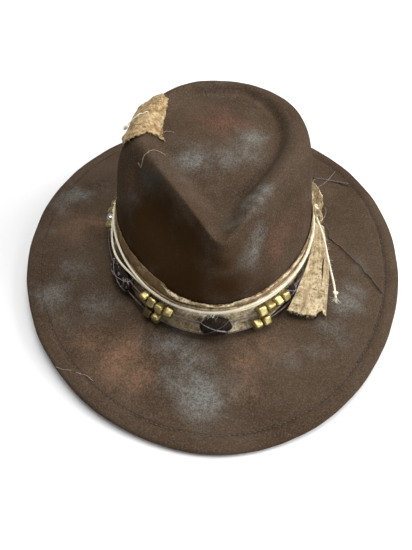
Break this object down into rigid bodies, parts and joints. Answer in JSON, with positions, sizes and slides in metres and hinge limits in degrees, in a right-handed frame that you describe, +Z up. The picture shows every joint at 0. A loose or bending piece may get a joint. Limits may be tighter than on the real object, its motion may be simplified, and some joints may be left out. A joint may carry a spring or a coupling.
{
  "type": "wide brim felt hat with beaded band",
  "caption": "Wide-brimmed felt hat with a pinched teardrop crown and wired brim edge, wound with a torn cloth band, cord and threads that carry loose brass beads, with free tied ends.",
  "frame": {"origin": "on the table plane, under the middle of the brim outline; the hat stands on the front and back of its brim", "axes": "+Z up through the crown, -Y towards the front of the hat, +X towards the wearer's left, where the band is knotted"},
  "size_m": [0.328, 0.388, 0.1195],
  "materials": {
    "felt": "matte blocked wool felt, dry-brushed with dusty blue, rust and dark red paint",
    "wire": "bare spring steel",
    "sewing": "dark brown sewing thread",
    "sweat_leather": "smooth tan-brown leather",
    "ribbon": "dark grosgrain ribbon",
    "cloth": "raw-edged mottled tan cotton",
    "cord": "twisted cream cotton",
    "waxed_thread": "dark waxed thread",
    "brass": "aged satin brass",
    "bound_bead": "dark stained wood"
  },
  "bodies": {
    "felt_hat": {"felt_body": "felt", "brim_wire": "wire", "brim_stitching_top": "sewing", "brim_stitching_underside": "sewing", "sweatband": "sweat_leather", "sweatband_reed": "sweat_leather", "sweatband_stitching": "sewing", "sweatband_bow": "ribbon", "crown_patch": "cloth"},
    "hat_band": {"cloth_band": "cloth", "cloth_knot": "cloth", "cloth_short_end": "cloth", "cream_cord": "cord", "cream_cord_knot": "cord", "bead_thread_upper": "waxed_thread", "bead_thread_lower": "waxed_thread", "bead_thread_knot": "waxed_thread", "wrapped_bead_front": "bound_bead", "wrapped_bead_left": "bound_bead", "wrapped_bead_right": "bound_bead", "wrap_thread_front": "sewing", "wrap_thread_left": "sewing", "wrap_thread_right": "sewing"},
    "cloth_tail": {"cloth_tail": "cloth"},
    "cord_tail": {"cream_cord_tail": "cord"},
    "thread_tail_long": {"bead_thread_tail_long": "waxed_thread"},
    "thread_tail_back": {"bead_thread_tail_back": "waxed_thread"},
    "bead_01": {"brass_bead_01": "brass"},
    "bead_02": {"brass_bead_02": "brass"},
    "bead_03": {"brass_bead_03": "brass"},
    "bead_04": {"brass_bead_04": "brass"},
    "bead_05": {"brass_bead_05": "brass"},
    "bead_06": {"brass_bead_06": "brass"},
    "bead_07": {"brass_bead_07": "brass"},
    "bead_08": {"brass_bead_08": "brass"},
    "bead_09": {"brass_bead_09": "brass"},
    "bead_10": {"brass_bead_10": "brass"},
    "bead_11": {"brass_bead_11": "brass"},
    "bead_12": {"brass_bead_12": "brass"},
    "bead_13": {"brass_bead_13": "brass"},
    "bead_14": {"brass_bead_14": "brass"},
    "bead_15": {"brass_bead_15": "brass"},
    "bead_16": {"brass_bead_16": "brass"}
  },
  "joints": [
    {"name": "band_lift", "type": "slide", "parent": "felt_hat", "child": "hat_band", "axis": [0, 0, 1], "range_m": [0, 0.12]},
    {"name": "cloth_tail_lift", "type": "hinge", "parent": "hat_band", "child": "cloth_tail", "pos_m": [0.0925, -0.0036, 0.03215], "axis": [-0.9701, 0, 0.2425], "range_deg": [0, 60]},
    {"name": "cord_tail_lift", "type": "hinge", "parent": "hat_band", "child": "cord_tail", "pos_m": [0.0935, -0.004, 0.0399], "axis": [-0.9701, 0, 0.2425], "range_deg": [0, 60]},
    {"name": "thread_tail_long_lift", "type": "hinge", "parent": "hat_band", "child": "thread_tail_long", "pos_m": [0.09872, 0.00397, 0.0294], "axis": [-0.8444, -0.5357, 0], "range_deg": [0, 55]},
    {"name": "thread_tail_back_lift", "type": "hinge", "parent": "hat_band", "child": "thread_tail_back", "pos_m": [0.06662, 0.08379, 0.0309], "axis": [-0.1621, -0.9868, 0], "range_deg": [0, 55]},
    {"name": "bead_01_spin", "type": "hinge", "parent": "hat_band", "child": "bead_01", "pos_m": [-0.04905, -0.08772, 0.0309], "axis": [0.7456, -0.6664, 0], "continuous": true},
    {"name": "bead_02_spin", "type": "hinge", "parent": "hat_band", "child": "bead_02", "pos_m": [-0.04289, -0.09281, 0.0309], "axis": [0.796, -0.6053, 0], "continuous": true},
    {"name": "bead_03_spin", "type": "hinge", "parent": "hat_band", "child": "bead_03", "pos_m": [-0.03633, -0.09737, 0.0309], "axis": [0.8458, -0.5335, 0], "continuous": true},
    {"name": "bead_04_spin", "type": "hinge", "parent": "hat_band", "child": "bead_04", "pos_m": [-0.02937, -0.10131, 0.0309], "axis": [0.8933, -0.4494, 0], "continuous": true},
    {"name": "bead_05_spin", "type": "hinge", "parent": "hat_band", "child": "bead_05", "pos_m": [-0.04615, -0.0948, 0.021], "axis": [0.791, -0.6119, 0], "continuous": true},
    {"name": "bead_06_spin", "type": "hinge", "parent": "hat_band", "child": "bead_06", "pos_m": [-0.03971, -0.09938, 0.021], "axis": [0.8384, -0.545, 0], "continuous": true},
    {"name": "bead_07_spin", "type": "hinge", "parent": "hat_band", "child": "bead_07", "pos_m": [0.04051, -0.09609, 0.0309], "axis": [0.8312, 0.556, 0], "continuous": true},
    {"name": "bead_08_spin", "type": "hinge", "parent": "hat_band", "child": "bead_08", "pos_m": [0.04695, -0.09136, 0.0309], "axis": [0.7799, 0.6259, 0], "continuous": true},
    {"name": "bead_09_spin", "type": "hinge", "parent": "hat_band", "child": "bead_09", "pos_m": [0.05298, -0.08611, 0.0309], "axis": [0.7278, 0.6858, 0], "continuous": true},
    {"name": "bead_10_spin", "type": "hinge", "parent": "hat_band", "child": "bead_10", "pos_m": [0.05858, -0.08042, 0.0309], "axis": [0.6753, 0.7375, 0], "continuous": true},
    {"name": "bead_11_spin", "type": "hinge", "parent": "hat_band", "child": "bead_11", "pos_m": [0.03808, -0.10164, 0.021], "axis": [0.8638, 0.5039, 0], "continuous": true},
    {"name": "bead_12_spin", "type": "hinge", "parent": "hat_band", "child": "bead_12", "pos_m": [0.04479, -0.09732, 0.021], "axis": [0.8162, 0.5777, 0], "continuous": true},
    {"name": "bead_13_spin", "type": "hinge", "parent": "hat_band", "child": "bead_13", "pos_m": [-0.09084, 0.01505, 0.0309], "axis": [-0.1177, -0.993, 0], "continuous": true},
    {"name": "bead_14_spin", "type": "hinge", "parent": "hat_band", "child": "bead_14", "pos_m": [-0.09159, 0.00607, 0.0309], "axis": [-0.0478, -0.9989, 0], "continuous": true},
    {"name": "bead_15_spin", "type": "hinge", "parent": "hat_band", "child": "bead_15", "pos_m": [-0.09154, -0.00293, 0.0309], "axis": [0.0888, -0.9961, 0], "continuous": true},
    {"name": "bead_16_spin", "type": "hinge", "parent": "hat_band", "child": "bead_16", "pos_m": [-0.09034, -0.01187, 0.0309], "axis": [0.1714, -0.9852, 0], "continuous": true}
  ],
  "couplings": [
    {"joint": "cord_tail_lift", "follows": "cloth_tail_lift", "ratio": 1}
  ]
}
